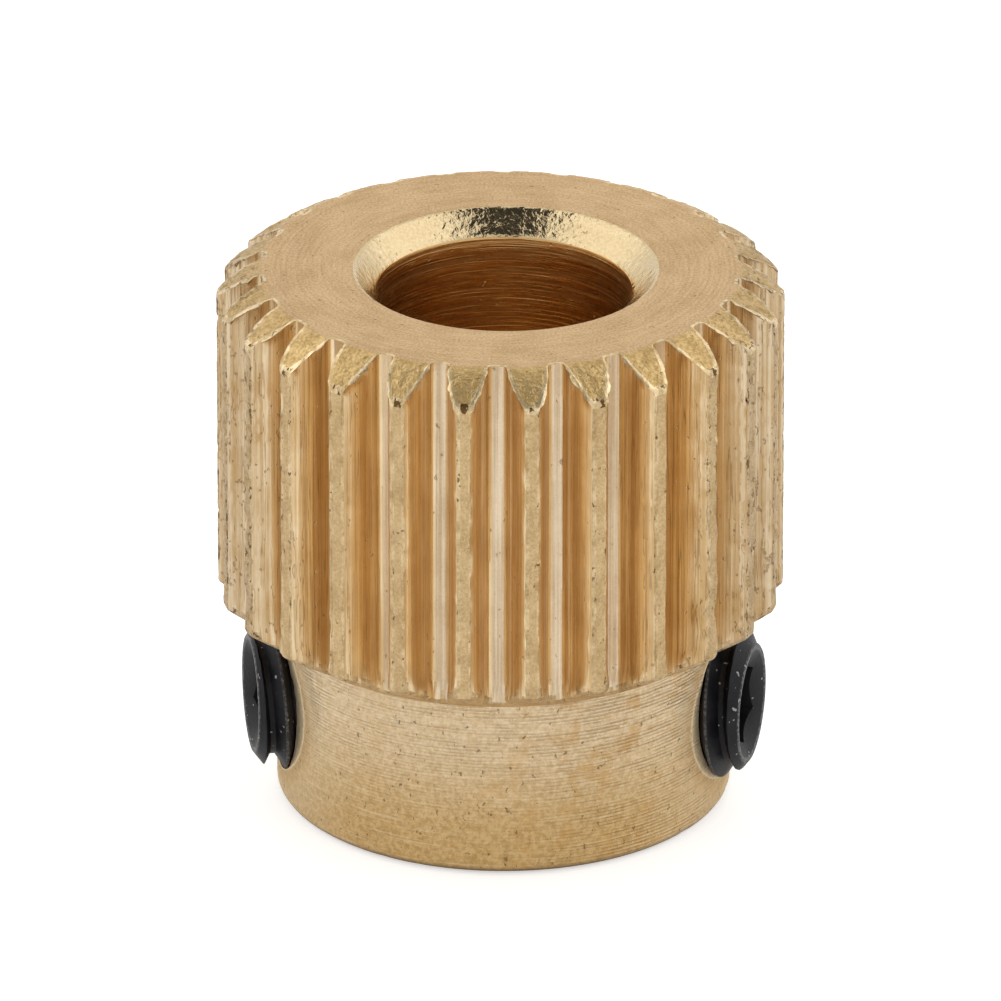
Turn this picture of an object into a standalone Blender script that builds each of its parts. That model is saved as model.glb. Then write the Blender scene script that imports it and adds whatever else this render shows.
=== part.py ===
"""Extruder drive gear: a turned brass gear with two set screws in its hub.

Metres, +Z up. The origin is the centre of the hub's bottom face, and the gear's
axis is the Z axis. Angles around the gear are counted from -Y towards +X.
"""

import math

import bmesh
import bpy
from mathutils import Matrix, Vector

MM = 0.001

# Gear blank
HEIGHT = 11.0 * MM
HUB_HEIGHT = 3.62 * MM
HUB_R = 4.47 * MM
BORE_R = 2.5 * MM
BORE_CHAMFER_TOP = 0.47 * MM
BORE_CHAMFER_BOTTOM = 0.2 * MM
HUB_EDGE_CHAMFER = 0.2 * MM
TOP_FLAT_R = 4.68 * MM
TOP_BEVEL_ANGLE = math.radians(31.0)
BOTTOM_BEVEL_ANGLE = math.radians(31.0)

# Teeth
TOOTH_COUNT = 26
TIP_R = 5.56 * MM
ROOT_R = 4.67 * MM
CREST_WIDTH = 0.30 * MM
ROOT_WIDTH = 0.32 * MM
CREST_CORNER = 0.05 * MM
ROOT_CORNER = 0.06 * MM
FLANK_BULGE = 0.055 * MM
TOOTH_PHASE = math.radians(-4.9)
FACETS_PER_TOOTH = 6

# Set screws: M3 x 0.5, 3 mm long, 1.5 mm hex socket in a dished face, cup point
SCREW_R = 1.5 * MM
SCREW_LENGTH = 3.0 * MM
THREAD_PITCH = 0.5 * MM
THREAD_ROOT_R = 1.2 * MM
THREAD_CREST_WIDTH = 0.08 * MM
THREAD_FLANK_ANGLE = math.radians(30.0)
THREAD_OVERLAP = 0.04 * MM
SCREW_FACE_R = 1.16 * MM
SCREW_FACE_CHAMFER = 0.25 * MM
DISH_R = 1.10 * MM
DISH_DEPTH = 0.75 * MM
SCREW_TIP_R = 0.9 * MM
SCREW_TIP_CHAMFER = 0.35 * MM
CUP_R = 0.7 * MM
CUP_DEPTH = 0.4 * MM
SOCKET_ACROSS_FLATS = 1.5 * MM
SOCKET_DEPTH = 1.3 * MM
SCREW_FACETS = 24

# Where the screws sit in the hub
SCREW_HEIGHT = 2.17 * MM
SCREW_HALF_SPREAD = math.radians(78.5)
LEFT_FACE_RADIUS = 4.98 * MM
RIGHT_FACE_RADIUS = 5.10 * MM
LEFT_SCREW_TURN = math.radians(7.0)
RIGHT_SCREW_TURN = math.radians(-115.0)
HOLE_CLEARANCE = 0.05 * MM
HOLE_FACETS = 48

# How far a cutter runs past the surface that it cuts
OVERRUN = 1.0 * MM
MERGE = 1e-7


def remove_scene_objects():
    """Empty the scene, whatever it held."""
    for obj in list(bpy.data.objects):
        bpy.data.objects.remove(obj, do_unlink=True)


def make_collection(name):
    """Add a collection to the scene."""
    collection = bpy.data.collections.new(name)
    bpy.context.scene.collection.children.link(collection)
    return collection


def make_material(name, colour, roughness, metallic):
    """Make a Principled material."""
    material = bpy.data.materials.new(name)
    material.use_nodes = True
    shader = material.node_tree.nodes["Principled BSDF"]
    shader.inputs["Base Color"].default_value = (*colour, 1.0)
    shader.inputs["Roughness"].default_value = roughness
    shader.inputs["Metallic"].default_value = metallic
    return material


def add_object(name, data, collection):
    """Link a new object to a collection."""
    obj = bpy.data.objects.new(name, data)
    collection.objects.link(obj)
    return obj


def make_cutter(obj):
    """Mark an object as a cutter, which is never part of the model."""
    obj.hide_render = True
    obj.display_type = "WIRE"
    return obj


def cylinder(name, radius, length, segments, collection):
    """A closed cylinder along Z, standing on its origin."""
    bm = bmesh.new()
    bmesh.ops.create_cone(
        bm, cap_ends=True, segments=segments, radius1=radius, radius2=radius, depth=length,
        matrix=Matrix.Translation((0, 0, length / 2)))
    mesh = bpy.data.meshes.new(name)
    bm.to_mesh(mesh)
    bm.free()
    return add_object(name, mesh, collection)


def turned(name, profile, closed, steps, collection):
    """Turn a profile of (radius, height) points about Z with a Screw modifier."""
    edges = [(i, i + 1) for i in range(len(profile) - 1)]
    if closed:
        edges.append((len(profile) - 1, 0))
    mesh = bpy.data.meshes.new(name)
    mesh.from_pydata([(radius, 0, height) for radius, height in profile], edges, [])
    obj = add_object(name, mesh, collection)
    screw = obj.modifiers.new("Turn", "SCREW")
    screw.steps = steps
    screw.render_steps = steps
    screw.use_merge_vertices = True
    screw.merge_threshold = MERGE
    return obj


def prism(name, outline, bottom, top, collection):
    """A flat outline of (x, y) points, filled and extruded from bottom to top."""
    curve = bpy.data.curves.new(name, "CURVE")
    curve.dimensions = "2D"
    curve.fill_mode = "BOTH"
    curve.extrude = (top - bottom) / 2
    spline = curve.splines.new("POLY")
    spline.points.add(len(outline) - 1)
    for point, (x, y) in zip(spline.points, outline):
        point.co = (x, y, 0, 1)
    spline.use_cyclic_u = True
    curve_object = add_object(name + "_curve", curve, collection)
    curve_object.location.z = (top + bottom) / 2
    return curve_to_mesh(name, curve_object, collection)


def evaluated_mesh(obj):
    """The object's mesh with its modifiers applied."""
    bpy.context.view_layer.update()
    graph = bpy.context.evaluated_depsgraph_get()
    return bpy.data.meshes.new_from_object(obj.evaluated_get(graph))


def curve_to_mesh(name, curve_object, collection):
    """Replace a curve object by a welded mesh object in the same place."""
    mesh = evaluated_mesh(curve_object)
    bm = bmesh.new()
    bm.from_mesh(mesh)
    bmesh.ops.remove_doubles(bm, verts=bm.verts, dist=MERGE)
    bm.to_mesh(mesh)
    bm.free()
    obj = add_object(name, mesh, collection)
    obj.matrix_world = curve_object.matrix_world
    bpy.data.objects.remove(curve_object, do_unlink=True)
    return obj


def add_boolean(obj, operation, other):
    """Cut, join or trim an object with another one."""
    modifier = obj.modifiers.new(operation.title() + "_" + other.name, "BOOLEAN")
    modifier.operation = operation
    modifier.solver = "EXACT"
    modifier.object = other


def apply_modifiers(obj):
    """Replace the object's mesh by its evaluated one."""
    mesh = evaluated_mesh(obj)
    obj.modifiers.clear()
    obj.data = mesh


def finish_surface(obj, material):
    """Give a piece its material, and smooth shading that keeps its edges sharp."""
    obj.data.materials.clear()
    obj.data.materials.append(material)
    obj.data.shade_smooth()
    obj.data.set_sharp_from_angle(angle=math.radians(20.0))


def around_gear(angle, radius, height):
    """A point around the gear, with the angle counted from -Y towards +X."""
    return Vector((radius * math.sin(angle), -radius * math.cos(angle), height))


def gear_profile():
    """The blank's closed section: down its outside, then up the bore.

    The toothed stretch is wider than the teeth, which the tooth outline trims.
    """
    blank_r = TIP_R + OVERRUN
    top_drop = (blank_r - TOP_FLAT_R) * math.tan(TOP_BEVEL_ANGLE)
    bottom_rise = (blank_r - HUB_R) * math.tan(BOTTOM_BEVEL_ANGLE)
    return [
        (TOP_FLAT_R, HEIGHT),
        (blank_r, HEIGHT - top_drop),
        (blank_r, HUB_HEIGHT + bottom_rise),
        (HUB_R, HUB_HEIGHT),
        (HUB_R, HUB_EDGE_CHAMFER),
        (HUB_R - HUB_EDGE_CHAMFER, 0),
        (BORE_R + BORE_CHAMFER_BOTTOM, 0),
        (BORE_R, BORE_CHAMFER_BOTTOM),
        (BORE_R, HEIGHT - BORE_CHAMFER_TOP),
        (BORE_R + BORE_CHAMFER_TOP, HEIGHT),
    ]


def half_groove():
    """Half a groove, from its centre line to the middle of the next crest.

    The points are (across, outward) from the gear's axis, with the groove's centre
    line along outward. The flank has two facets that bulge into the groove, and the
    corners at the root and the crest are cut off.
    """
    half_pitch = math.pi / TOOTH_COUNT
    crest_half_angle = CREST_WIDTH / 2 / TIP_R
    corner = Vector((TIP_R * math.sin(half_pitch - crest_half_angle),
                     TIP_R * math.cos(half_pitch - crest_half_angle)))
    root = Vector((ROOT_WIDTH / 2, ROOT_R))
    flank = (corner - root).normalized()
    middle = (root + corner) / 2 + Vector((-flank.y, flank.x)) * FLANK_BULGE
    crest = Vector((math.cos(half_pitch - crest_half_angle),
                    -math.sin(half_pitch - crest_half_angle)))
    return [
        root - Vector((ROOT_CORNER, 0)),
        root + (middle - root).normalized() * ROOT_CORNER,
        middle,
        corner - (corner - middle).normalized() * CREST_CORNER,
        corner + crest * CREST_CORNER,
    ]


def tooth_outline():
    """The outline of all the teeth, groove by groove."""
    right_half = half_groove()
    groove = [Vector((-p.x, p.y)) for p in reversed(right_half)] + right_half
    pitch = 2 * math.pi / TOOTH_COUNT
    outline = []
    for index in range(TOOTH_COUNT):
        angle = TOOTH_PHASE + (index + 0.5) * pitch
        across = around_gear(angle + math.pi / 2, 1, 0).xy
        outward = around_gear(angle, 1, 0).xy
        outline += [across * p.x + outward * p.y for p in groove]
    return outline


def screw_placement(angle, face_radius):
    """Location and rotation that point a piece's +Z out of the hub at this angle."""
    outward = around_gear(angle, 1, 0)
    rotation = outward.to_track_quat("Z", "Y").to_matrix().to_4x4()
    return Matrix.Translation(around_gear(angle, face_radius, SCREW_HEIGHT)) @ rotation


def make_gear(brass, parts, cutters):
    """The gear: a turned blank, trimmed to its teeth, with two screw holes."""
    gear = turned("gear_body", gear_profile(), True, TOOTH_COUNT * FACETS_PER_TOOTH, parts)
    gear.rotation_euler.z = TOOTH_PHASE
    teeth = make_cutter(prism("tooth_outline", tooth_outline(), -OVERRUN, HEIGHT + OVERRUN, cutters))
    add_boolean(gear, "INTERSECT", teeth)
    for side, angle in (("left", -SCREW_HALF_SPREAD), ("right", SCREW_HALF_SPREAD)):
        hole = make_cutter(cylinder(
            "screw_hole_" + side, SCREW_R + HOLE_CLEARANCE, HUB_R + OVERRUN, HOLE_FACETS, cutters))
        hole.matrix_world = screw_placement(angle, 0)
        add_boolean(gear, "DIFFERENCE", hole)
    apply_modifiers(gear)
    finish_surface(gear, brass)
    return gear


def thread_ridge(name, bottom, top, collection):
    """A closed helical ridge, from inside the screw's core to just past its crest."""
    inner_r = THREAD_ROOT_R - THREAD_OVERLAP
    outer_r = SCREW_R + THREAD_OVERLAP
    inner_half = THREAD_CREST_WIDTH / 2 + (SCREW_R - inner_r) * math.tan(THREAD_FLANK_ANGLE)
    outer_half = THREAD_CREST_WIDTH / 2 - THREAD_OVERLAP * math.tan(THREAD_FLANK_ANGLE)
    section = [(inner_r, inner_half), (outer_r, outer_half),
               (outer_r, -outer_half), (inner_r, -inner_half)]
    ridge = turned(name, section, True, SCREW_FACETS, collection)
    screw = ridge.modifiers["Turn"]
    screw.use_merge_vertices = False
    screw.screw_offset = THREAD_PITCH
    screw.iterations = math.ceil((top - bottom) / THREAD_PITCH)
    mesh = evaluated_mesh(ridge)
    ridge.modifiers.clear()
    bm = bmesh.new()
    bm.from_mesh(mesh)
    bmesh.ops.holes_fill(bm, edges=[edge for edge in bm.edges if edge.is_boundary])
    bmesh.ops.recalc_face_normals(bm, faces=bm.faces)
    bm.to_mesh(mesh)
    bm.free()
    mesh.transform(Matrix.Translation((0, 0, bottom)))
    ridge.data = mesh
    return ridge


def make_screw_blanks(cutters):
    """The shapes that every set screw is made with, along Z, outer face at Z = 0."""
    ridge = thread_ridge("thread_ridge", -SCREW_LENGTH - OVERRUN, OVERRUN, cutters)
    envelope = turned("screw_envelope", [
        (0, -DISH_DEPTH), (DISH_R, 0), (SCREW_FACE_R, 0), (SCREW_R, -SCREW_FACE_CHAMFER),
        (SCREW_R, -SCREW_LENGTH + SCREW_TIP_CHAMFER), (SCREW_TIP_R, -SCREW_LENGTH),
        (CUP_R, -SCREW_LENGTH), (0, -SCREW_LENGTH + CUP_DEPTH),
    ], False, SCREW_FACETS * 2, cutters)
    corner_r = SOCKET_ACROSS_FLATS / 2 / math.cos(math.pi / 6)
    socket = cylinder("hex_socket", corner_r, SOCKET_DEPTH + OVERRUN, 6, cutters)
    socket.location.z = -SOCKET_DEPTH
    return [make_cutter(obj) for obj in (ridge, envelope, socket)]


def make_screw_mesh(blanks, cutters):
    """One set screw's mesh: core and thread, trimmed to its ends, with its socket."""
    ridge, envelope, socket = blanks
    rod = cylinder("screw_rod", THREAD_ROOT_R, SCREW_LENGTH + OVERRUN, SCREW_FACETS, cutters)
    half_facet = Matrix.Rotation(math.pi / SCREW_FACETS, 4, "Z")
    rod.data.transform(Matrix.Translation((0, 0, -SCREW_LENGTH - OVERRUN / 2)) @ half_facet)
    add_boolean(rod, "UNION", ridge)
    add_boolean(rod, "INTERSECT", envelope)
    add_boolean(rod, "DIFFERENCE", socket)
    apply_modifiers(rod)
    mesh = rod.data
    bpy.data.objects.remove(rod, do_unlink=True)
    return mesh


def make_set_screws(steel, parts, cutters):
    """The two set screws, each with its origin on its own axis at its outer face."""
    mesh = make_screw_mesh(make_screw_blanks(cutters), cutters)
    mesh.name = "set_screw"
    for side, angle, radius, turn in (
            ("left", -SCREW_HALF_SPREAD, LEFT_FACE_RADIUS, LEFT_SCREW_TURN),
            ("right", SCREW_HALF_SPREAD, RIGHT_FACE_RADIUS, RIGHT_SCREW_TURN)):
        screw = add_object("set_screw_" + side, mesh, parts)
        screw.matrix_world = screw_placement(angle, radius) @ Matrix.Rotation(turn, 4, "Z")
        finish_surface(screw, steel)


def main():
    """Build the gear and its screws."""
    remove_scene_objects()
    parts = make_collection("extruder_gear_assembly")
    cutters = make_collection("cutters")
    brass = make_material("brass", (0.62, 0.43, 0.21), 0.38, 1.0)
    steel = make_material("black_oxide_steel", (0.025, 0.025, 0.028), 0.42, 0.8)
    make_gear(brass, parts, cutters)
    make_set_screws(steel, parts, cutters)


main()
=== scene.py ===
"""Looks of the extruder drive gear: a turned brass gear with two black set screws.

Lengths are in millimetres until a mesh is made, when they become metres. Angles around
the gear are counted from -Y towards +X, as in the CAD.
"""
import math

import bmesh
import bpy
import numpy as np
from mathutils import Matrix, Vector, noise


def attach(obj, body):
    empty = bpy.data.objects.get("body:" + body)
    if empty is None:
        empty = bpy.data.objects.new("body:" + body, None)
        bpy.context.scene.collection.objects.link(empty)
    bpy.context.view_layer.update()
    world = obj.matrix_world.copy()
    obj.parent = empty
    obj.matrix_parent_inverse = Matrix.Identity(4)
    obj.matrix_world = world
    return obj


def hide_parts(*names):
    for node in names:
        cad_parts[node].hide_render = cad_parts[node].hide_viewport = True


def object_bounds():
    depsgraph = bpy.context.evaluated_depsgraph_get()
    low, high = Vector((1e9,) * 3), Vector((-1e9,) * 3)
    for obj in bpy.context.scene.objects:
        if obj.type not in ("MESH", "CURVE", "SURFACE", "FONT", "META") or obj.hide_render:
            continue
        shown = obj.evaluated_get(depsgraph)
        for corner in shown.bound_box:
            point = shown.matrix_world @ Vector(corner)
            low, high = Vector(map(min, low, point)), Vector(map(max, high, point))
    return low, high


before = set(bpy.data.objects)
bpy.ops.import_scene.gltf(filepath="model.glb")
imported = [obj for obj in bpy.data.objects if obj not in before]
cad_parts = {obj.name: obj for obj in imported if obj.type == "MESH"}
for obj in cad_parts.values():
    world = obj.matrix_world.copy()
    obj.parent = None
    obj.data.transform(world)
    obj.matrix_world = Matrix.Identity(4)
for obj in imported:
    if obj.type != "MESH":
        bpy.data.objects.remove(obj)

CAD_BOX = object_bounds()
MM = 0.001

# Gear, as in the CAD
HEIGHT = 11.0
HUB_HEIGHT = 3.62
HUB_R = 4.47
BORE_R = 2.5
CHAMFER_TOP = 0.47
CHAMFER_BOTTOM = 0.2
HUB_EDGE = 0.2
TOP_FLAT_R = 4.68
BEVEL_SLOPE = math.tan(math.radians(31.0))
TOOTH_COUNT = 26
TIP_R = 5.56
ROOT_R = 4.67
CREST_WIDTH = 0.30
ROOT_WIDTH = 0.32
FLANK_BULGE = 0.055
TOOTH_PHASE = math.radians(-4.9)

# The gear is two visible pieces that meet just inside the bevels
SEAM_R = 4.55
INNER_R = 4.40
WALL_ROWS = 72
CORE_COLUMNS = 384

# Rounded and worn edges of the gear
CREST_ROUND = 0.04
ROOT_ROUND = 0.07
FLANK_EDGE = 0.065
CREST_EDGE = 0.08
BOTTOM_EDGE = 0.07
CHAMFER_ROUND_IN = 0.06
CHAMFER_ROUND_OUT = 0.09
BURR = 0.05
BEVEL_BULGE = 0.06

# How far the turned surfaces, and then the chamfer again, lie off the teeth's centre to the right
CORE_OFFSET = 0.06
CHAMFER_OFFSET = 0.05

# Set screws, as in the CAD
SCREW_R = 1.5
SCREW_LENGTH = 3.0
PITCH = 0.5
THREAD_ROOT_R = 1.2
THREAD_CREST = 0.05
SCREW_FACE_R = 1.16
SCREW_FACE_CHAMFER = 0.25
DISH_R = 1.10
DISH_DEPTH = 0.75
SCREW_TIP_R = 0.9
SCREW_TIP_CHAMFER = 0.35
CUP_R = 0.7
CUP_DEPTH = 0.4
SOCKET_FLATS = 1.5
SOCKET_DEPTH = 1.3
SCREW_HEIGHT = 2.17
SCREW_HALF_SPREAD = math.radians(78.5)
SCREW_ANGLE = {"left": -SCREW_HALF_SPREAD, "right": SCREW_HALF_SPREAD}
FACE_RADIUS = {"left": 4.98, "right": 5.10}
THREAD_PHASE = {"left": 0.94, "right": 0.52}

# The tapped holes' thread: how much wider it is than the screws', in radius and at its crest
THREAD_CLEARANCE = 0.03
THREAD_WIDENING = 0.04

# Camera
CAMERA_AZIMUTH = math.radians(2.6)
CAMERA_ELEVATION = math.radians(24.7)
CAMERA_DISTANCE = 400.0
IMAGE_WIDTH = 19.55
AIM_BELOW_TOP = 4.547


# ---------------------------------------------------------------- helpers

def around_gear(angle, radius=1.0, height=0.0):
    """A point around the gear, with the angle counted from -Y towards +X."""
    return Vector((radius * math.sin(angle), -radius * math.cos(angle), height))


def new_object(name, mesh):
    """Link a new object to the scene."""
    obj = bpy.data.objects.new(name, mesh)
    bpy.context.scene.collection.objects.link(obj)
    return obj


def grid_mesh(name, points, face_slots):
    """A closed mesh from a grid of points (rows, columns, 3) in mm, joined in both directions."""
    rows, columns, _ = points.shape
    index = np.arange(rows * columns).reshape(rows, columns)
    right = np.roll(index, -1, axis=1)
    below = np.roll(index, -1, axis=0)
    corner = np.roll(below, -1, axis=1)
    quads = np.stack([index, below, corner, right], axis=-1).reshape(-1, 4)
    mesh = bpy.data.meshes.new(name)
    mesh.from_pydata((points.reshape(-1, 3) * MM).tolist(), [], quads.tolist())
    mesh.polygons.foreach_set("material_index", face_slots.ravel())
    return mesh


def noise_field(points, frequency, seed=0.0):
    """Smooth noise of about -1 to 1 at points in mm; frequency is one number or three, per mm."""
    scaled = points * np.asarray(frequency, float) + seed
    values = [noise.noise(p) for p in scaled.reshape(-1, 3).tolist()]
    return np.array(values).reshape(points.shape[:-1])


def smoothstep(value, low, high):
    """0 below low, 1 above high, and smooth between."""
    t = np.clip((value - low) / (high - low), 0.0, 1.0)
    return t * t * (3 - 2 * t)


def smooth_shading(mesh, angle):
    """Smooth shading, with edges sharper than an angle in degrees kept."""
    mesh.shade_smooth()
    mesh.set_sharp_from_angle(angle=math.radians(angle))


def apply_modifiers(obj):
    """Replace the object's mesh by its evaluated one."""
    bpy.context.view_layer.update()
    graph = bpy.context.evaluated_depsgraph_get()
    mesh = bpy.data.meshes.new_from_object(obj.evaluated_get(graph))
    obj.modifiers.clear()
    obj.data = mesh


def cut(obj, cutter):
    """Cut one object out of another and remove it."""
    modifier = obj.modifiers.new("Cut", "BOOLEAN")
    modifier.operation = "DIFFERENCE"
    modifier.solver = "MANIFOLD"
    modifier.object = cutter
    apply_modifiers(obj)
    bpy.data.objects.remove(cutter, do_unlink=True)


# ---------------------------------------------------------------- materials

class Shader:
    """A material's nodes, with short ways to add them. Positions are in mm."""

    def __init__(self, name):
        self.material = bpy.data.materials.new(name)
        self.material.use_nodes = True
        self.tree = self.material.node_tree
        self.surface = self.tree.nodes["Principled BSDF"]
        position = self.node("ShaderNodeTexCoord").outputs["Object"]
        self.position = self.vector("SCALE", position, scale=1 / MM)
        split = self.node("ShaderNodeSeparateXYZ")
        self.feed(split.inputs[0], self.position)
        self.x, self.y, self.z = split.outputs

    def node(self, kind, **settings):
        """Add a node and set its properties."""
        node = self.tree.nodes.new(kind)
        for key, value in settings.items():
            setattr(node, key, value)
        return node

    def feed(self, socket, value):
        """Link a socket to an input, or set the input to a number or a colour."""
        if isinstance(value, bpy.types.NodeSocket):
            self.tree.links.new(value, socket)
        else:
            socket.default_value = value

    def vector(self, operation, a, b=None, scale=None):
        """Vector maths."""
        node = self.node("ShaderNodeVectorMath", operation=operation)
        self.feed(node.inputs[0], a)
        if b is not None:
            self.feed(node.inputs[1], b)
        if scale is not None:
            node.inputs["Scale"].default_value = scale
        return node.outputs["Value" if operation in ("LENGTH", "DOT_PRODUCT") else "Vector"]

    def maths(self, operation, a, b=0.0):
        """Plain maths on two values."""
        node = self.node("ShaderNodeMath", operation=operation)
        self.feed(node.inputs[0], a)
        self.feed(node.inputs[1], b)
        return node.outputs[0]

    def noise(self, vector, scale, detail=3.0, roughness=0.55):
        """Noise from 0 to 1."""
        node = self.node("ShaderNodeTexNoise")
        self.feed(node.inputs["Vector"], vector)
        node.inputs["Scale"].default_value = scale
        node.inputs["Detail"].default_value = detail
        node.inputs["Roughness"].default_value = roughness
        return node.outputs["Fac"]

    def band(self, value, low, high, start=0.0, end=1.0):
        """Map the stretch from low to high smoothly to start to end."""
        node = self.node("ShaderNodeMapRange", interpolation_type="SMOOTHSTEP")
        self.feed(node.inputs["Value"], value)
        for key, number in (("From Min", low), ("From Max", high), ("To Min", start), ("To Max", end)):
            node.inputs[key].default_value = number
        return node.outputs["Result"]

    def mix(self, factor, a, b, blend="MIX"):
        """Mix two colours."""
        node = self.node("ShaderNodeMix", data_type="RGBA", blend_type=blend)
        self.feed(node.inputs["Factor"], factor)
        self.feed(node.inputs[6], a)
        self.feed(node.inputs[7], b)
        return node.outputs[2]

    def bump(self, height, depth_mm, normal=None):
        """Bump from a height of 0 to 1 that stands for a depth in mm."""
        node = self.node("ShaderNodeBump")
        node.inputs["Distance"].default_value = depth_mm * MM
        self.feed(node.inputs["Height"], height)
        if normal is not None:
            self.feed(node.inputs["Normal"], normal)
        return node.outputs["Normal"]

    def stretched(self, x, y, z):
        """The position with each axis scaled."""
        return self.vector("MULTIPLY", self.position, (x, y, z))

    def from_axis(self):
        """The distance from the object's own axis."""
        return self.vector("LENGTH", self.vector("MULTIPLY", self.position, (1.0, 1.0, 0.0)))

    def from_screws(self):
        """The distance from the nearer screw's axis."""
        fold = self.node("ShaderNodeCombineXYZ")
        above = self.maths("SUBTRACT", self.z, SCREW_HEIGHT)
        for socket, value in zip(fold.inputs, (self.maths("ABSOLUTE", self.x), self.y, above)):
            self.feed(socket, value)
        axis = tuple(around_gear(SCREW_HALF_SPREAD))
        return self.vector("LENGTH", self.vector("CROSS_PRODUCT", fold.outputs[0], axis))

    def ripples(self, value, pitch, wobble):
        """Waves from 0 to 1 along a value, at a pitch, with a wobble in pitches."""
        drift = self.maths("MULTIPLY", self.noise(self.position, 1.3, detail=4.0), wobble * 2 * math.pi)
        turn = self.maths("ADD", self.maths("MULTIPLY", value, 2 * math.pi / pitch), drift)
        return self.maths("ADD", self.maths("MULTIPLY", self.maths("SINE", turn), 0.5), 0.5)

    def rings(self, around, across):
        """The position with the radius as its last axis, for the marks of turning a flat face."""
        join = self.node("ShaderNodeCombineXYZ")
        for socket, value in zip(join.inputs, (self.x, self.y, self.from_axis())):
            self.feed(socket, value)
        return self.vector("MULTIPLY", join.outputs[0], (around, around, across))


def tint(red, green, blue):
    """A colour with its alpha."""
    return (red, green, blue, 1.0)


# Painted shade in the pits of the brass.
PIT_SHADE = tint(0.15, 0.085, 0.03)


def brass(name, dark, light, marks, marks_share, marks_depth, grain_scale, grain_depth, roughness,
          pits=0.3, pitted=0.0, side_pitted=0.03, hammer=0.0, side_shade=0.0, scored=0.0, hooped=0.0):
    """Bare brass.

    marks gives the vector that the tool's marks follow, and marks_share how much of the
    colour's variation is theirs, against the grain's. pits is how dark the painted shade in
    the pits is, pitted and side_pitted how many more pits there are in front and on both sides
    of the gear, and hammer the depth of coarse dents. On both sides of the gear, side_shade is
    how much painted shade darkens and greys the brass, scored how dark the painted shade in
    the thin upright scores is, and hooped how dark the rings left by turning the face are.
    """
    shader = Shader(name)
    lines = shader.noise(marks(shader), 1.0, detail=3.0, roughness=0.6)
    grain = shader.noise(shader.position, grain_scale, detail=2.0, roughness=0.7)
    clouds = shader.noise(shader.position, 1.1, detail=3.0)
    share = shader.maths("MULTIPLY", shader.band(lines, 0.33, 0.67), marks_share)
    rest = shader.maths("MULTIPLY", shader.band(grain, 0.33, 0.67), 0.8 - marks_share)
    cloudy = shader.maths("MULTIPLY", shader.band(clouds, 0.35, 0.65), 0.2)
    level = shader.maths("ADD", shader.maths("ADD", share, rest), cloudy)
    pit = pit_mask(shader, pitted, side_pitted)
    colour = shader.mix(level, dark, light)
    # Painted shade: both sides of the gear darker and greyer.
    if side_shade:
        sides = shader.band(shader.maths("ABSOLUTE", shader.x), 3.6, 5.2, 0.0, side_shade)
        colour = shader.mix(sides, colour, tint(0.70, 0.71, 0.80), "MULTIPLY")
    # Painted shade in thin upright scores, stronger towards both sides.
    if scored:
        fine = shader.noise(shader.stretched(9.0, 9.0, 0.18), 1.0, detail=2.0)
        off_line = shader.maths("ABSOLUTE", shader.maths("SUBTRACT", fine, 0.5))
        line = shader.band(off_line, 0.0, 0.028, 1.0, 0.0)
        strength = shader.band(shader.maths("ABSOLUTE", shader.x), 1.0, 4.0, 0.25 * scored, scored)
        colour = shader.mix(shader.maths("MULTIPLY", line, strength), colour, tint(0.24, 0.13, 0.05))
    if hooped:
        hoops = shader.band(shader.ripples(shader.from_axis(), 0.10, 0.6), 0.35, 0.95)
        strength = shader.band(shader.maths("ABSOLUTE", shader.x), 2.4, 4.2, 0.0, hooped)
        hoops = shader.maths("MULTIPLY", hoops, strength)
        colour = shader.mix(hoops, colour, tint(0.36, 0.23, 0.10))
    # Painted shade in the pits.
    colour = shader.mix(shader.maths("MULTIPLY", pit, pits), colour, PIT_SHADE)
    shader.feed(shader.surface.inputs["Base Color"], colour)
    shader.surface.inputs["Metallic"].default_value = 1.0
    rough = shader.band(level, 0.2, 0.8, roughness + 0.08, roughness - 0.06)
    shader.feed(shader.surface.inputs["Roughness"], rough)
    normal = shader.bump(lines, marks_depth)
    normal = shader.bump(grain, grain_depth, normal)
    if hammer:
        normal = shader.bump(shader.noise(shader.position, 7.0, detail=2.0), hammer, normal)
    normal = shader.bump(shader.maths("SUBTRACT", 1.0, pit), 0.02 * pits, normal)
    shader.feed(shader.surface.inputs["Normal"], normal)
    return shader.material


def pit_mask(shader, pitted, side_pitted):
    """1 in the pits and 0 elsewhere."""
    spots = shader.noise(shader.stretched(8.0, 8.0, 5.0), 1.0, detail=2.5, roughness=0.65)
    sides = shader.band(shader.maths("ABSOLUTE", shader.x), 3.4, 5.1, pitted, side_pitted)
    return shader.band(shader.maths("ADD", spots, sides), 0.67, 0.72)


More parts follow.
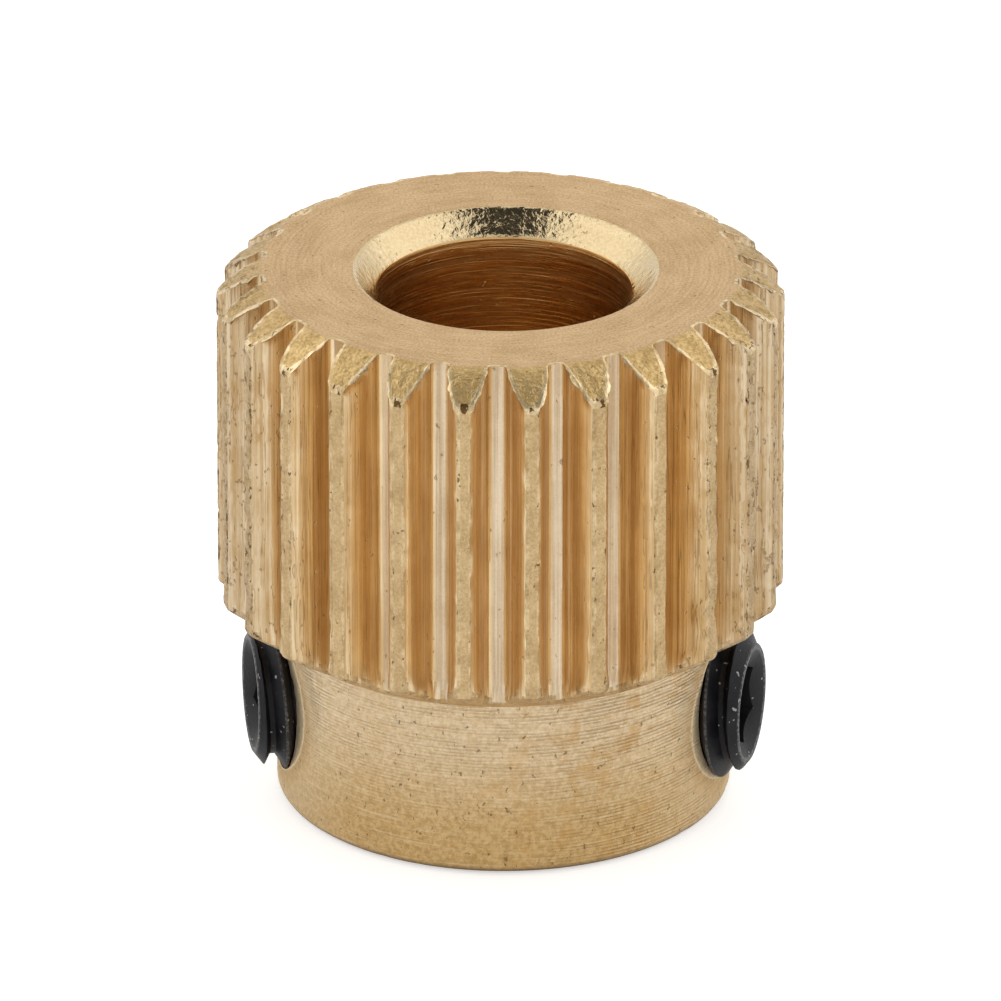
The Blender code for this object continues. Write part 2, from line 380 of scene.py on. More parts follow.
def hub_brass():
    """The hub: fine turning lines, most on the right and above, and sandy brass that painted shade makes
    golden and darker below, with painted light towards the screws, a painted highlight round their holes, and
    painted shade along its foot and in its pits.
    """
    shader = Shader("brass_hub")
    upper = shader.band(shader.z, 0.6, 3.0)
    ridges = shader.band(shader.ripples(shader.z, 0.072, 0.3), 0.35, 0.95)
    broken = shader.noise(shader.stretched(1.2, 1.2, 7.0), 1.0, detail=3.0)
    rightward = shader.band(shader.x, 0.3, 3.0, 0.2, 1.1)
    turned = shader.maths("ADD", shader.maths("MULTIPLY", upper, 0.5), rightward)
    strength = shader.maths("MULTIPLY", shader.band(broken, 0.38, 0.60, 0.15, 1.0), turned)
    lines = shader.maths("MULTIPLY", ridges, strength)
    scratches = shader.noise(shader.stretched(0.6, 0.6, 22.0), 1.0, detail=3.0, roughness=0.6)
    grain = shader.noise(shader.position, 22.0, detail=2.0, roughness=0.7)
    mottle = shader.noise(shader.position, 10.0, detail=3.0, roughness=0.7)
    stains = shader.noise(shader.position, 1.7, detail=5.0, roughness=0.7)
    gold = shader.mix(shader.band(mottle, 0.34, 0.66), tint(0.51, 0.33, 0.13), tint(0.67, 0.47, 0.225))
    pale = shader.mix(shader.band(mottle, 0.34, 0.66), tint(0.66, 0.49, 0.285), tint(0.79, 0.625, 0.41))
    # Painted shade: the lower hub darker and more golden, the upper paler.
    colour = shader.mix(upper, gold, pale)
    on_right = shader.band(shader.x, -1.0, 2.5, 0.15, 0.6)
    stained = shader.maths("MULTIPLY", shader.band(stains, 0.50, 0.60), on_right)
    colour = shader.mix(stained, colour, tint(0.60, 0.36, 0.13))
    # Painted light: paler brass towards both screws, against the dark screws' reflection.
    lit_toward_screws = shader.band(shader.maths("ABSOLUTE", shader.x), 2.4, 4.1, 0.0, 0.3)
    colour = shader.mix(lit_toward_screws, colour, tint(0.93, 0.76, 0.50))
    colour = shader.mix(shader.maths("MULTIPLY", lines, 0.26), colour, tint(0.30, 0.18, 0.07))
    colour = shader.mix(shader.band(scratches, 0.55, 0.72, 0.0, 0.35), colour, tint(0.88, 0.74, 0.50))
    colour = shader.mix(shader.band(grain, 0.58, 0.72, 0.0, 0.30), colour, tint(0.36, 0.23, 0.09))
    pit = pit_mask(shader, 0.015, 0.02)
    # Painted shade in the pits.
    colour = shader.mix(shader.maths("MULTIPLY", pit, 0.65), colour, PIT_SHADE)
    reach = shader.from_screws()
    # Painted highlight: a pale ring at the edge of each screw's hole.
    colour = shader.mix(shader.band(reach, 1.54, 1.57, 0.6, 0.0), colour, tint(0.97, 0.86, 0.64))
    # Painted shade: a dark line along the hub's foot.
    colour = shader.mix(shader.band(shader.z, 0.04, 0.17, 0.8, 0.0), colour, tint(0.17, 0.11, 0.05))
    shader.feed(shader.surface.inputs["Base Color"], colour)
    shader.surface.inputs["Metallic"].default_value = 1.0
    rough = shader.band(mottle, 0.3, 0.7, 0.46, 0.34)
    near_screws = shader.band(reach, 1.6, 2.2, 0.75, 0.3)
    shader.feed(shader.surface.inputs["Roughness"], shader.maths("MAXIMUM", rough, near_screws))
    normal = shader.bump(shader.band(reach, 1.50, 1.61, 1.0, 0.0), 0.033)
    normal = shader.bump(lines, 0.010, normal)
    normal = shader.bump(scratches, 0.005, normal)
    normal = shader.bump(mottle, 0.015, normal)
    normal = shader.bump(shader.maths("SUBTRACT", 1.0, pit), 0.015, normal)
    shader.feed(shader.surface.inputs["Normal"], normal)
    return shader.material


def gear_materials():
    """The gear's surfaces, in the order of its material slots."""
    rings = lambda s: s.rings(1.1, 11.0)
    deep_hoops = lambda s: s.stretched(0.35, 0.35, 16.0)
    upright = lambda s: s.stretched(8.5, 8.5, 0.10)
    fine_upright = lambda s: s.stretched(14.0, 14.0, 0.15)
    grainy = lambda s: s.stretched(5.0, 5.0, 3.0)
    return [
        brass("brass_flat", tint(0.50, 0.325, 0.15), tint(0.75, 0.525, 0.285), rings,
              marks_share=0.22, marks_depth=0.0045, grain_scale=21.0, grain_depth=0.008, roughness=0.48,
              pits=0.55, pitted=0.015, side_pitted=0.05, hooped=0.15),
        brass("brass_bevel", tint(0.45, 0.295, 0.11), tint(0.76, 0.54, 0.25), grainy,
              marks_share=0.3, marks_depth=0.010, grain_scale=15.0, grain_depth=0.014, roughness=0.43,
              pits=0.6, side_pitted=0.075, hammer=0.024, side_shade=0.5),
        brass("brass_edge", tint(0.50, 0.345, 0.15), tint(1.0, 0.81, 0.51), grainy,
              marks_share=0.6, marks_depth=0.008, grain_scale=14.0, grain_depth=0.010, roughness=0.40,
              pits=0.6, pitted=0.02, side_pitted=0.11, side_shade=0.7),
        brass("brass_crest", tint(0.50, 0.34, 0.16), tint(0.71, 0.52, 0.28), grainy,
              marks_share=0.3, marks_depth=0.008, grain_scale=20.0, grain_depth=0.010, roughness=0.45,
              pits=0.6, side_pitted=0.06, side_shade=0.5),
        brass("brass_flank", tint(0.64, 0.41, 0.17), tint(0.94, 0.76, 0.49), upright,
              marks_share=0.75, marks_depth=0.013, grain_scale=22.0, grain_depth=0.003, roughness=0.34,
              pits=0.4, side_pitted=0.04, side_shade=0.6, scored=0.55),
        brass("brass_root", tint(0.60, 0.45, 0.28), tint(0.85, 0.70, 0.50), fine_upright,
              marks_share=0.65, marks_depth=0.006, grain_scale=18.0, grain_depth=0.003, roughness=0.36,
              pits=0.4, side_shade=0.5),
        hub_brass(),
        brass("brass_bore", tint(0.56, 0.30, 0.10), tint(0.98, 0.66, 0.29), deep_hoops,
              marks_share=0.7, marks_depth=0.020, grain_scale=18.0, grain_depth=0.003, roughness=0.27,
              pits=0.3),
        brass("brass_chamfer", tint(0.58, 0.44, 0.24), tint(0.73, 0.58, 0.35), rings,
              marks_share=0.2, marks_depth=0.002, grain_scale=20.0, grain_depth=0.003, roughness=0.13,
              pits=0.3, hammer=0.024),
        brass("brass_thread", tint(0.45, 0.30, 0.12), tint(0.75, 0.55, 0.28), grainy,
              marks_share=0.3, marks_depth=0.006, grain_scale=14.0, grain_depth=0.010, roughness=0.40,
              pits=0.4),
        brass("brass_rim", tint(0.44, 0.295, 0.13), tint(0.84, 0.65, 0.39), grainy,
              marks_share=0.5, marks_depth=0.012, grain_scale=14.0, grain_depth=0.014, roughness=0.40,
              pits=0.85, pitted=0.03, side_pitted=0.11, side_shade=0.55, scored=0.5),
        # Painted shade: dark nicks along the crests' top edges, as dense dark pits.
        brass("brass_nick_shade", tint(0.50, 0.35, 0.17), tint(0.90, 0.71, 0.44), grainy,
              marks_share=0.3, marks_depth=0.006, grain_scale=14.0, grain_depth=0.008, roughness=0.38,
              pits=1.0, pitted=0.16, side_pitted=0.10),
    ]


# The gear's material slots, and SEAM for the core's hidden rows
FLAT, BEVEL, EDGE, CREST, FLANK, ROOT, HUB, BORE, CHAMFER, THREAD, RIM, NICK_SHADE, SEAM = range(13)


def black_oxide():
    """Black-oxide steel, paler on the face's rim and the thread's crests as wear and a painted highlight,
    with specks of dust.
    """
    shader = Shader("black_oxide_steel")
    clouds = shader.noise(shader.position, 1.6, detail=4.0)
    grain = shader.noise(shader.position, 16.0, detail=3.0)
    specks = shader.noise(shader.position, 8.0, detail=1.0)
    radius = shader.from_axis()
    colour = shader.mix(shader.band(clouds, 0.35, 0.65), tint(0.006, 0.006, 0.008), tint(0.015, 0.014, 0.016))
    on_face = shader.band(shader.z, -0.03, -0.01)
    rim = shader.maths("MULTIPLY", on_face, shader.band(radius, 0.9, DISH_R - 0.01))
    crest = shader.band(radius, SCREW_R - 0.012, SCREW_R - 0.004, 0.0, 0.6)
    edge = shader.maths("MAXIMUM", rim, crest)
    # Wear and a painted highlight: paler on the face's rim and the thread's crests.
    worn_and_highlit = shader.maths("MULTIPLY", edge, shader.band(grain, 0.42, 0.60, 0.25, 1.0))
    colour = shader.mix(worn_and_highlit, colour, tint(0.15, 0.145, 0.145))
    dust = shader.band(specks, 0.73, 0.76, 0.0, 0.7)
    colour = shader.mix(dust, colour, tint(0.45, 0.43, 0.41))
    shader.feed(shader.surface.inputs["Base Color"], colour)
    shader.surface.inputs["Metallic"].default_value = 0.0
    shader.surface.inputs["Specular IOR Level"].default_value = 0.17
    shader.feed(shader.surface.inputs["Roughness"], shader.band(clouds, 0.3, 0.7, 0.38, 0.52))
    normal = shader.bump(grain, 0.005)
    shader.feed(shader.surface.inputs["Normal"], shader.bump(clouds, 0.012, normal))
    return shader.material


# ---------------------------------------------------------------- gear teeth

def bend(start, corner, end, count):
    """Points on a round corner, from just after start to end."""
    steps = [(i + 1) / count for i in range(count)]
    return [start * (1 - t) ** 2 + corner * 2 * t * (1 - t) + end * t * t for t in steps]


def along(start, end, count):
    """Points on a line, from just after start to end."""
    return [start + (end - start) * (i + 1) / count for i in range(count)]


def bulging(start, end, count):
    """Points on a flank that bulges into the groove, from just after start to end."""
    along_it = (end - start).normalized()
    into_groove = Vector((-along_it.y, along_it.x))
    steps = [(i + 1) / count for i in range(count)]
    return [start + (end - start) * t + into_groove * FLANK_BULGE * 4 * t * (1 - t) for t in steps]


def half_groove(root_width, crest_width):
    """Wall points and kinds from a groove's centre to the middle of the next crest."""
    half_pitch = math.pi / TOOTH_COUNT
    turn = half_pitch - crest_width / 2 / TIP_R
    corner = Vector((TIP_R * math.sin(turn), TIP_R * math.cos(turn)))
    root = Vector((root_width / 2, ROOT_R))
    middle = Vector((TIP_R * math.sin(half_pitch), TIP_R * math.cos(half_pitch)))
    flank = (corner - root).normalized()
    crest = (middle - corner).normalized()
    centre = Vector((0, ROOT_R))
    land_end = root - Vector((ROOT_ROUND, 0))
    root_end = root + flank * ROOT_ROUND
    flank_end = corner - flank * CREST_ROUND
    crest_start = corner + crest * CREST_ROUND
    runs = [
        ([centre], ROOT),
        (along(centre, land_end, 2), ROOT),
        (bend(land_end, root, root_end, 2), FLANK),
        (bulging(root_end, flank_end, 9), FLANK),
        (bend(flank_end, corner, crest_start, 2), RIM),
        (along(crest_start, middle, 2), CREST),
    ]
    return [(point, kind) for points, kind in runs for point in points]


def wall_columns():
    """Wall points (x, y), outward normals and kinds of all columns around the gear."""
    rng = np.random.default_rng(5)
    pitch = 2 * math.pi / TOOTH_COUNT
    points, kinds = [], []
    for index in range(TOOTH_COUNT):
        angle = TOOTH_PHASE + (index + 0.5) * pitch + rng.normal(0, 0.0012)
        across = around_gear(angle + math.pi / 2).xy
        outward = around_gear(angle).xy
        for side in (-1, 1):
            half = half_groove(ROOT_WIDTH * rng.uniform(0.85, 1.2), CREST_WIDTH * rng.uniform(0.9, 1.1))
            half = half[:0:-1] if side < 0 else half[:-1]
            points += [across * p.x * side + outward * p.y for p, _ in half]
            kinds += [kind for _, kind in half]
    points = np.array([tuple(p) for p in points])
    tangent = np.roll(points, -1, axis=0) - np.roll(points, 1, axis=0)
    normals = np.stack([tangent[:, 1], -tangent[:, 0]], axis=1)
    normals /= np.linalg.norm(normals, axis=1, keepdims=True)
    return points, normals, np.array(kinds)


def top_height(radius):
    """The height of the top at a radius: a soft edge, then a bevel that bulges a little."""
    soft = 0.02
    past = soft * np.log1p(np.exp((radius - TOP_FLAT_R) / soft))
    share = np.clip(past / (TIP_R - TOP_FLAT_R), 0.0, 1.0)
    return HEIGHT - past * BEVEL_SLOPE + BEVEL_BULGE * 4 * share * (1 - share)


def lifted(flat_points, heights):
    """Points (x, y) with their heights."""
    return np.column_stack([flat_points, heights])


def teeth_rows(points, normals, kinds):
    """Rows of points around the teeth, each with the surface between it and the next one.

    They run from the seam in the top face outward, down the wall, and back inside the gear.
    None stands for the wall, whose surface depends on the column.
    """
    radii = np.linalg.norm(points, axis=1)
    directions = points / radii[:, None]
    flat = lifted(points, np.zeros(len(points)))
    crest = np.isin(kinds, (CREST, RIM)).astype(float)
    flank = smoothstep(radii, ROOT_R + 0.03, ROOT_R + 0.12) * (1 - crest)
    ragged = 0.55 + 1.3 * noise_field(flat, 7.0, 3.0) + 0.7 * noise_field(flat, 16.0, 9.0)
    ragged = np.clip(ragged, 0.05, 1.5)
    patches = smoothstep(noise_field(flat, 0.9, 5.0), -0.25, 0.25)
    on_sides = smoothstep(np.abs(points[:, 0]), 3.0, 4.8)
    burr = BURR * ragged * (1 + 0.5 * on_sides) * (flank * (0.35 + 0.65 * patches) + 0.25)
    edge = FLANK_EDGE * (1 - crest) + CREST_EDGE * crest * (0.8 + 0.4 * patches)

    def shifted(distance, height_change=0.0):
        moved = points + normals * np.broadcast_to(distance, radii.shape)[:, None]
        return lifted(moved, top_height(np.linalg.norm(moved, axis=1)) + height_change)

    inner = np.linalg.norm(points - normals * edge[:, None], axis=1)
    rows = [(lifted(directions * SEAM_R, np.full(len(points), HEIGHT)), FLAT)]
    for target, share, surface in ((4.66, 0.45, FLAT), (4.72, 0.75, BEVEL)):
        radius = np.minimum(target, SEAM_R + (inner - SEAM_R) * share)
        rows.append((lifted(directions * radius[:, None], top_height(radius)), surface))
    start = rows[-1][0][:, :2]
    finish = points - normals * edge[:, None]
    for share in (0.2, 0.4, 0.6, 0.8, 1.0):
        flat_points = start * (1 - share) + finish * share
        height = top_height(np.linalg.norm(flat_points, axis=1))
        rows.append((lifted(flat_points, height), BEVEL if share < 1.0 else EDGE))
    rise = 0.35 * burr * smoothstep(noise_field(flat, 2.2, 13.0), 0.10, 0.40)
    rows.append((shifted(-0.45 * edge, rise - 0.008 * crest), EDGE))
    rows.append((shifted(-0.1 * edge, 0.6 * rise - 0.028 * crest), EDGE))
    rows.append((shifted(0.7 * burr * flank, -0.35 * burr - 0.06 * crest), EDGE))
    rows.append((shifted(0.15 * burr * flank, -1.3 * burr - 0.10 * crest), None))
    top = lifted(points, top_height(radii) - 0.26 - 0.05 * crest)
    bottom_height = HUB_HEIGHT + (radii - HUB_R) * BEVEL_SLOPE
    bottom = lifted(points, bottom_height + 0.09)
    for index in range(WALL_ROWS + 1):
        share = index / WALL_ROWS
        rows.append((top * (1 - share) + bottom * share, None))
    for inset, drop in ((0.01, 0.05), (0.035, 0.018), (BOTTOM_EDGE, 0.0)):
        moved = points - normals * inset
        height = HUB_HEIGHT + (np.linalg.norm(moved, axis=1) - HUB_R) * BEVEL_SLOPE + drop
        rows.append((lifted(moved, height), RIM))
    foot_height = HUB_HEIGHT + (INNER_R - HUB_R) * BEVEL_SLOPE
    foot = lifted(directions * INNER_R, np.full(len(points), foot_height))
    last = rows[-1][0]
    for share in (0.5, 1.0):
        rows.append((last * (1 - share) + foot * share, BEVEL))
    rows.append((lifted(directions * INNER_R, np.full(len(points), HEIGHT - 0.1)), FLAT))
    return rows


def above_foot(grid):
    """How far each point stands above the bevel under the teeth."""
    radius = np.linalg.norm(grid[..., :2], axis=-1)
    return grid[..., 2] - HUB_HEIGHT - (radius - HUB_R) * BEVEL_SLOPE


def roughen_teeth(grid, surfaces, kinds, normals):
    """Move the teeth's points by the marks of the cutter and by wear."""
    wall = np.array([surface is None for surface in surfaces])
    walls = grid[wall]
    crest = np.isin(kinds, (CREST, RIM)).astype(float)
    root = (kinds == ROOT).astype(float)
    sides = 1 + 2.2 * smoothstep(np.abs(walls[:, :, 0]), 3.3, 4.9)
    pitted = smoothstep(noise_field(walls, (5.0, 5.0, 3.5), 11.0), 0.15, 0.55)
    sandy = np.abs(noise_field(walls, (9.0, 9.0, 7.0), 17.0))
    streaks = np.abs(noise_field(walls, (7.0, 7.0, 0.12), 7.0))
    depth = 0.010 * streaks + sides * crest * (0.020 * pitted + 0.010 * sandy)
    foot = smoothstep(-above_foot(walls), -0.55, -0.1)
    lumps = 0.5 + noise_field(walls, (6.0, 6.0, 1.5), 23.0)
    depth = depth - (1 - crest) * foot * 0.04 * lumps - root * 0.02 * foot
    walls[:, :, :2] -= normals[None] * depth[:, :, None]
    wave = 0.016 * noise_field(walls, (0.6, 0.6, 2.2), 29.0)
    wave = wave + 0.012 * noise_field(walls, (1.5, 1.5, 6.0), 37.0)
    radius = np.linalg.norm(walls[:, :, :2], axis=2)
    sway = sides * wave * smoothstep(radius, ROOT_R + 0.45, TIP_R - 0.05)
    tangent = np.stack([-walls[:, :, 1], walls[:, :, 0]], axis=-1) / radius[:, :, None]
    walls[:, :, :2] += tangent * sway[:, :, None]
    grid[wall] = walls

    bevel = np.array([surface in (BEVEL, EDGE) for surface in surfaces])
    last_edge = max(row for row, surface in enumerate(surfaces) if surface == EDGE)
    bevel[last_edge + 1] = True
    bevels = grid[bevel]
    radius = np.linalg.norm(bevels[:, :, :2], axis=2)
    past = smoothstep(radius, TOP_FLAT_R + 0.02, TOP_FLAT_R + 0.3)
    bumpy = np.abs(noise_field(bevels, (3.5, 3.5, 0.0), 31.0))
    bumpy = bumpy + 0.5 * np.abs(noise_field(bevels, (8.0, 8.0, 0.0), 43.0))
    on_sides = smoothstep(np.abs(bevels[:, :, 0]), 3.0, 4.8)
    bevels[:, :, 2] -= past * 0.035 * bumpy * (1 + 0.7 * on_sides)
    grid[bevel] = bevels

    within = 0.002
    grid[:] = np.clip(grid, np.array(CAD_BOX[0]) / MM + within, np.array(CAD_BOX[1]) / MM)


def make_teeth():
    """The toothed ring, which stands for the gear together with its core."""
    points, normals, kinds = wall_columns()
    rows = teeth_rows(points, normals, kinds)
    grid = np.stack([row for row, _ in rows])
    surfaces = [surface for _, surface in rows]
    roughen_teeth(grid, surfaces, kinds, normals)
    slots = np.array([kinds if surface is None else np.full(len(kinds), surface) for surface in surfaces])
    ragged_foot = 0.16 + 0.30 * noise_field(grid, (8.0, 8.0, 0.8), 47.0)
    smeared = np.isin(slots, (FLANK, ROOT)) & (above_foot(grid) < ragged_foot)
    slots[smeared] = RIM
    slots[(slots == EDGE) & (kinds == CREST)] = NICK_SHADE
    return new_object("gear_teeth", grid_mesh("gear_teeth", grid, slots))


# ---------------------------------------------------------------- gear core

def core_profile():
    """Profile points (radius, height) with the surface that follows each one.

    They run from the chamfer's rounded outer edge outward, down inside the teeth, down the
    hub, inward under it, up the bore and up the chamfer.
    """
    edge_r = BORE_R + CHAMFER_TOP
    edge = bend(np.array((edge_r - CHAMFER_ROUND_IN, HEIGHT - CHAMFER_ROUND_IN)), np.array((edge_r, HEIGHT)),
                np.array((edge_r + CHAMFER_ROUND_OUT, HEIGHT)), 5)
    rows = [(radius, height, CHAMFER) for radius, height in edge[:2]]
    rows += [(radius, height, FLAT) for radius, height in edge[2:]]
    rows += [(radius, HEIGHT, FLAT) for radius in np.linspace(edge_r + 0.15, SEAM_R, 8)]
    rows += [(SEAM_R - 0.05, HEIGHT - 0.06, SEAM), (SEAM_R - 0.05, HUB_HEIGHT + 0.12, SEAM)]
    rows += [(HUB_R, height, HUB) for height in np.linspace(HUB_HEIGHT + 0.05, HUB_EDGE + 0.02, 70)]
    for angle in np.radians([12, 28, 45, 62, 78]):
        rows.append((HUB_R - HUB_EDGE * (1 - math.cos(angle)), HUB_EDGE * (1 - math.sin(angle)), HUB))
    rows += [(radius, 0.0, FLAT) for radius in np.linspace(HUB_R - HUB_EDGE, BORE_R + CHAMFER_BOTTOM, 8)]
    rows += [(BORE_R + 0.1, CHAMFER_BOTTOM / 2, CHAMFER)]
    top = HEIGHT - CHAMFER_TOP
    rows += [(BORE_R, height, BORE) for height in np.linspace(CHAMFER_BOTTOM, top - 0.03, 34)]
    rows += [(BORE_R + CHAMFER_TOP * t, top + CHAMFER_TOP * t, CHAMFER) for t in np.linspace(0.03, 0.87, 7)]
    return rows


def make_core():
    """The turned core: top face, chamfer, bore, hub and bottom face."""
    profile = core_profile()
    angles = np.linspace(0, 2 * math.pi, CORE_COLUMNS, endpoint=False)
    directions = np.stack([np.cos(angles), np.sin(angles)], axis=1)
    radii = np.array([radius for radius, _, _ in profile])
    heights = np.array([height for _, height, _ in profile])
    surfaces = np.array([surface for _, _, surface in profile])
    grid = np.zeros((len(profile), CORE_COLUMNS, 3))
    grid[:, :, :2] = radii[:, None, None] * directions[None]
    grid[:, :, 2] = heights[:, None]

    edge_r = BORE_R + CHAMFER_TOP
    up_chamfer = np.clip((heights - (HEIGHT - CHAMFER_TOP)) / CHAMFER_TOP, 0, 1)
    lean = up_chamfer * (1 - smoothstep(radii, edge_r, edge_r + 0.6))
    grid[:, :, 0] += CHAMFER_OFFSET * lean[:, None]
    near_seam = (heights > HEIGHT - 0.1) * smoothstep(radii, edge_r, SEAM_R)
    near_seam[surfaces == SEAM] = 1.0
    surfaces[surfaces == SEAM] = FLAT
    grid[:, :, 0] += CORE_OFFSET * (1 - near_seam)[:, None]

    hub = surfaces == HUB
    hubs = grid[hub]
    ridges = 0.003 * np.abs(noise_field(hubs, (0.15, 0.15, 5.5), 41.0))
    dents = 0.012 * smoothstep(noise_field(hubs, (2.6, 2.6, 2.6), 53.0), 0.3, 0.7)
    hubs[:, :, :2] *= (1 - (ridges + dents) / HUB_R)[:, :, None]
    grid[hub] = hubs
    chamfer = surfaces == CHAMFER
    chamfers = grid[chamfer]
    chamfers[:, :, 2] -= 0.006 * np.abs(noise_field(chamfers, 4.0, 61.0))
    grid[chamfer] = chamfers
    slots = np.repeat(surfaces[:, None], CORE_COLUMNS, axis=1)
    return new_object("gear_core", grid_mesh("gear_core", grid, slots))


# ---------------------------------------------------------------- threads

def thread_radius(position, angle, phase, root_r, crest_r, crest_width):
    """A right-hand thread's radius at a position along its axis and an angle around it."""
    turns = position / PITCH - angle / (2 * math.pi) - phase
    distance = np.abs((turns + 0.5) % 1.0 - 0.5) * PITCH
    radius = crest_r - (distance - crest_width / 2) / math.tan(math.radians(30.0))
    return np.clip(radius, root_r, crest_r)


def screw_axis(angle):
    """The matrix that turns +Z to point out of the hub along a screw's axis, in metres."""
    rotation = around_gear(angle).to_track_quat("Z", "Y").to_matrix().to_4x4()
    return Matrix.Translation((0, 0, SCREW_HEIGHT * MM)) @ rotation


def rod_mesh(name, positions, radii_at, columns):
    """A closed rod along Z. radii_at gives the radii of a row from its position and the angles."""
    angles = np.linspace(0, 2 * math.pi, columns, endpoint=False)
    rows = []
    for position in positions:
        radius = radii_at(position, angles)
        rows.append(np.column_stack([radius * np.cos(angles), radius * np.sin(angles),
                                     np.full(columns, position)]))
    points = np.concatenate(rows) * MM
    count = len(positions)
    index = np.arange(count * columns).reshape(count, columns)
    quads = np.stack([index[:-1], np.roll(index[:-1], -1, 1), np.roll(index[1:], -1, 1), index[1:]], -1)
    faces = quads.reshape(-1, 4).tolist() + [index[0][::-1].tolist(), index[-1].tolist()]
    mesh = bpy.data.meshes.new(name)
    mesh.from_pydata(points.tolist(), [], faces)
    return mesh


def tapped_hole(side, material):
    """A cutter for one tapped hole, from inside the bore to outside the hub."""
    def radii(position, angles):
        return thread_radius(position, angles, THREAD_PHASE[side], THREAD_ROOT_R + THREAD_CLEARANCE,
                             SCREW_R + THREAD_CLEARANCE, THREAD_CREST + THREAD_WIDENING)
    mesh = rod_mesh("tap", np.arange(0.8, HUB_R + 0.9, PITCH / 14), radii, 72)
    mesh.materials.append(material)
    hole = new_object("tap", mesh)
    hole.matrix_world = screw_axis(SCREW_ANGLE[side])
    return hole


def make_gear():
    """The gear: its teeth and its core, with the tapped holes."""
    materials = gear_materials()
    for piece in (make_teeth(), make_core()):
        for material in materials:
            piece.data.materials.append(material)
        for side in SCREW_ANGLE:
            cut(piece, tapped_hole(side, materials[THREAD]))
        smooth_shading(piece.data, 40)
        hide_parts("gear_body")
        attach(piece, "gear")


# ---------------------------------------------------------------- set screws

def screw_radii(side):
    """The radii of one screw's rows; position 0 is its outer face."""
    def radii(position, angles):
        thread = thread_radius(position + FACE_RADIUS[side], angles, THREAD_PHASE[side],
                               THREAD_ROOT_R, SCREW_R, THREAD_CREST)
        outer = SCREW_FACE_R - position * (SCREW_R - SCREW_FACE_R) / SCREW_FACE_CHAMFER
        inner = SCREW_TIP_R + (position + SCREW_LENGTH) * (SCREW_R - SCREW_TIP_R) / SCREW_TIP_CHAMFER
        return np.minimum(thread, min(outer, inner))
    return radii


def cone_cutter(name, segments, low, low_r, high, high_r, placement):
    """A cone or prism between two positions along a screw's axis."""
    bm = bmesh.new()
    bmesh.ops.create_cone(bm, cap_ends=True, segments=segments, radius1=low_r * MM, radius2=high_r * MM,
                          depth=(high - low) * MM)
    mesh = bpy.data.meshes.new(name)
    bm.to_mesh(mesh)
    bm.free()
    cutter = new_object(name, mesh)
    cutter.matrix_world = placement @ Matrix.Translation((0, 0, (low + high) / 2 * MM))
    return cutter


def make_screw(side, steel):
    """One set screw, riding its own body."""
    positions = np.linspace(-SCREW_LENGTH, 0, 200)
    screw = new_object("screw_" + side, rod_mesh("screw_" + side, positions, screw_radii(side), 96))
    screw.data.materials.append(steel)
    placement = screw_axis(SCREW_ANGLE[side]) @ Matrix.Translation((0, 0, FACE_RADIUS[side] * MM))
    screw.matrix_world = placement
    over = 0.3
    corner_r = SOCKET_FLATS / 2 / math.cos(math.pi / 6)
    slope = DISH_R / DISH_DEPTH
    cut(screw, cone_cutter("dish", 64, -DISH_DEPTH, 0.0, over, DISH_R + slope * over, placement))
    cut(screw, cone_cutter("socket", 6, -SOCKET_DEPTH, corner_r, over, corner_r, placement))
    slope = CUP_R / CUP_DEPTH
    cut(screw, cone_cutter("cup", 64, -SCREW_LENGTH - over, CUP_R + slope * over,
                           -SCREW_LENGTH + CUP_DEPTH, 0.0, placement))
    smooth_shading(screw.data, 35)
    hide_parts("set_screw_" + side)
    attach(screw, side + "_screw")


# ---------------------------------------------------------------- stage

def make_floor():
    """A wide, plain, pale floor, bright enough to be nearly white around the gear."""
    bm = bmesh.new()
    bmesh.ops.create_circle(bm, cap_ends=True, segments=96, radius=3.0)
    mesh = bpy.data.meshes.new("floor")
    bm.to_mesh(mesh)
    bm.free()
    floor = new_object("floor", mesh)
    floor.location.z = -0.00002
    shader = Shader("floor_paper")
    shader.surface.inputs["Base Color"].default_value = (0.86, 0.86, 0.86, 1)
    shader.surface.inputs["Roughness"].default_value = 0.9
    shader.surface.inputs["Specular IOR Level"].default_value = 0.1
    seen = shader.node("ShaderNodeLightPath").outputs["Is Camera Ray"]
    shader.surface.inputs["Emission Color"].default_value = (1, 1, 1, 1)
    glow = shader.maths("ADD", shader.maths("MULTIPLY", seen, 0.3), 0.2)
    shader.feed(shader.surface.inputs["Emission Strength"], glow)
    floor.data.materials.append(shader.material)


class Sky(Shader):
    """The world's nodes; its position is the direction looked in."""

    def __init__(self, world):
        self.tree = world.node_tree
        self.surface = self.tree.nodes["Background"]
        self.position = self.node("ShaderNodeTexCoord").outputs["Generated"]
        split = self.node("ShaderNodeSeparateXYZ")
        self.feed(split.inputs[0], self.position)
        self.x, self.y, self.z = split.outputs


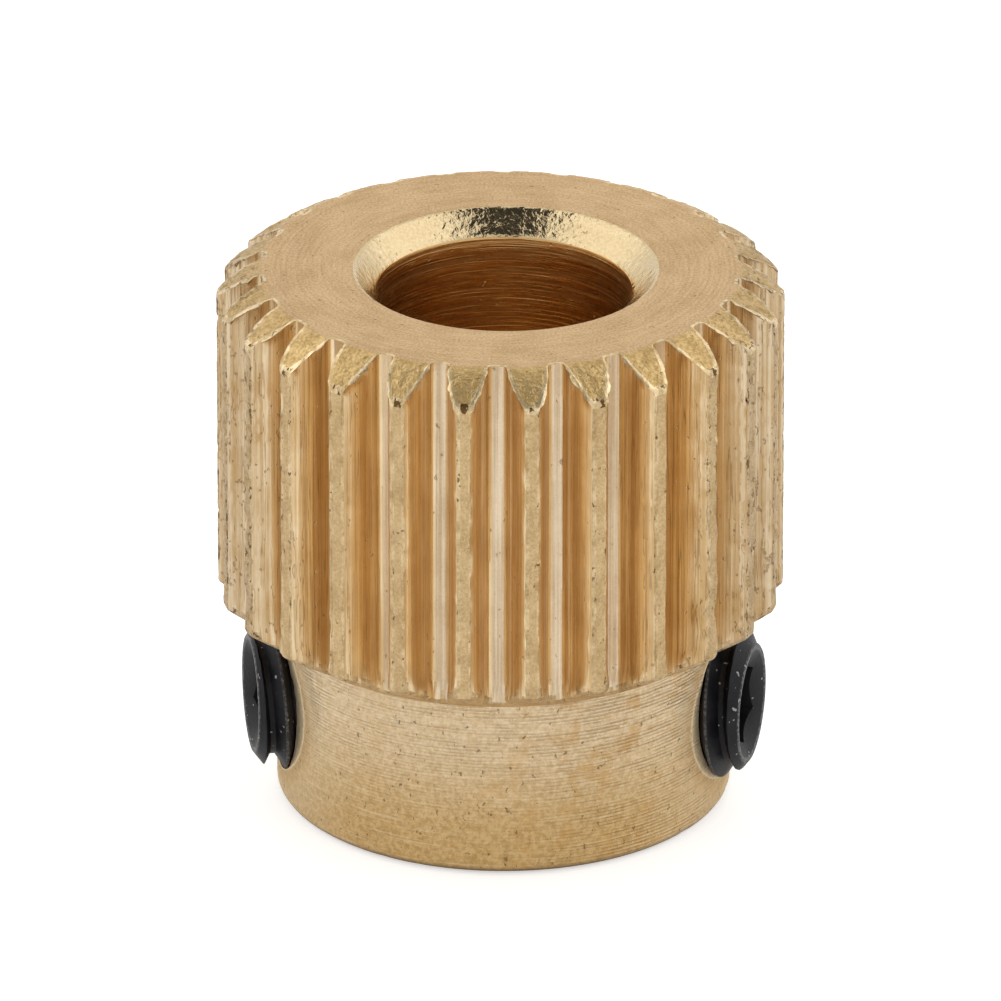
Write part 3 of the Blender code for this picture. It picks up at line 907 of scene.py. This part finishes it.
def make_world():
    """A white tent: bright on both sides, darker towards the camera, with a dark gap overhead."""
    world = bpy.data.worlds.new("tent")
    bpy.context.scene.world = world
    world.use_nodes = True
    sky = Sky(world)
    across = sky.maths("DIVIDE", sky.x, 0.40)
    ahead = sky.maths("DIVIDE", sky.maths("ADD", sky.y, 0.18), 0.52)
    away = sky.maths("ADD", sky.maths("MULTIPLY", across, across), sky.maths("MULTIPLY", ahead, ahead))
    overhead = sky.band(sky.z, 0.3, 0.5)
    gap = sky.maths("MULTIPLY", overhead, sky.band(away, 0.65, 1.15, 0.95, 0.0))
    mirrored = sky.node("ShaderNodeCombineXYZ")
    for socket, value in zip(mirrored.inputs, (sky.maths("ABSOLUTE", sky.x), sky.y, sky.z)):
        sky.feed(socket, value)
    toward_box = sky.vector("DOT_PRODUCT", mirrored.outputs[0], (0.75, 0.16, 0.64))
    boxes = sky.band(toward_box, 0.78, 0.93, 0.0, 0.40)
    front = sky.band(sky.maths("MULTIPLY", sky.y, -1.0), 0.2, 0.9, 1.0, 0.82)
    level = sky.maths("MULTIPLY", sky.maths("ADD", boxes, 1.0), front)
    level = sky.maths("MULTIPLY", level, sky.maths("SUBTRACT", 1.0, gap))
    sky.surface.inputs["Color"].default_value = (1, 1, 1, 1)
    sky.feed(sky.surface.inputs["Strength"], level)


def make_camera():
    """A long lens that looks down at the gear."""
    data = bpy.data.cameras.new("camera")
    camera = bpy.data.objects.new("camera", data)
    bpy.context.scene.collection.objects.link(camera)
    back = around_gear(CAMERA_AZIMUTH) * math.cos(CAMERA_ELEVATION)
    back.z = math.sin(CAMERA_ELEVATION)
    up = back.cross(around_gear(CAMERA_AZIMUTH + math.pi / 2))
    target = Vector((0, 0, HEIGHT)) - up * AIM_BELOW_TOP
    camera.location = (target + back * CAMERA_DISTANCE) * MM
    camera.rotation_euler = back.to_track_quat("Z", "Y").to_euler()
    data.lens = data.sensor_width * CAMERA_DISTANCE / IMAGE_WIDTH
    data.clip_start = 0.01
    data.clip_end = 20.0
    bpy.context.scene.camera = camera


def main():
    """Make the camera, world, floor, gear and screws."""
    bpy.context.scene.view_settings.view_transform = "Standard"
    make_camera()
    make_world()
    make_floor()
    make_gear()
    steel = black_oxide()
    for side in SCREW_ANGLE:
        make_screw(side, steel)


main()
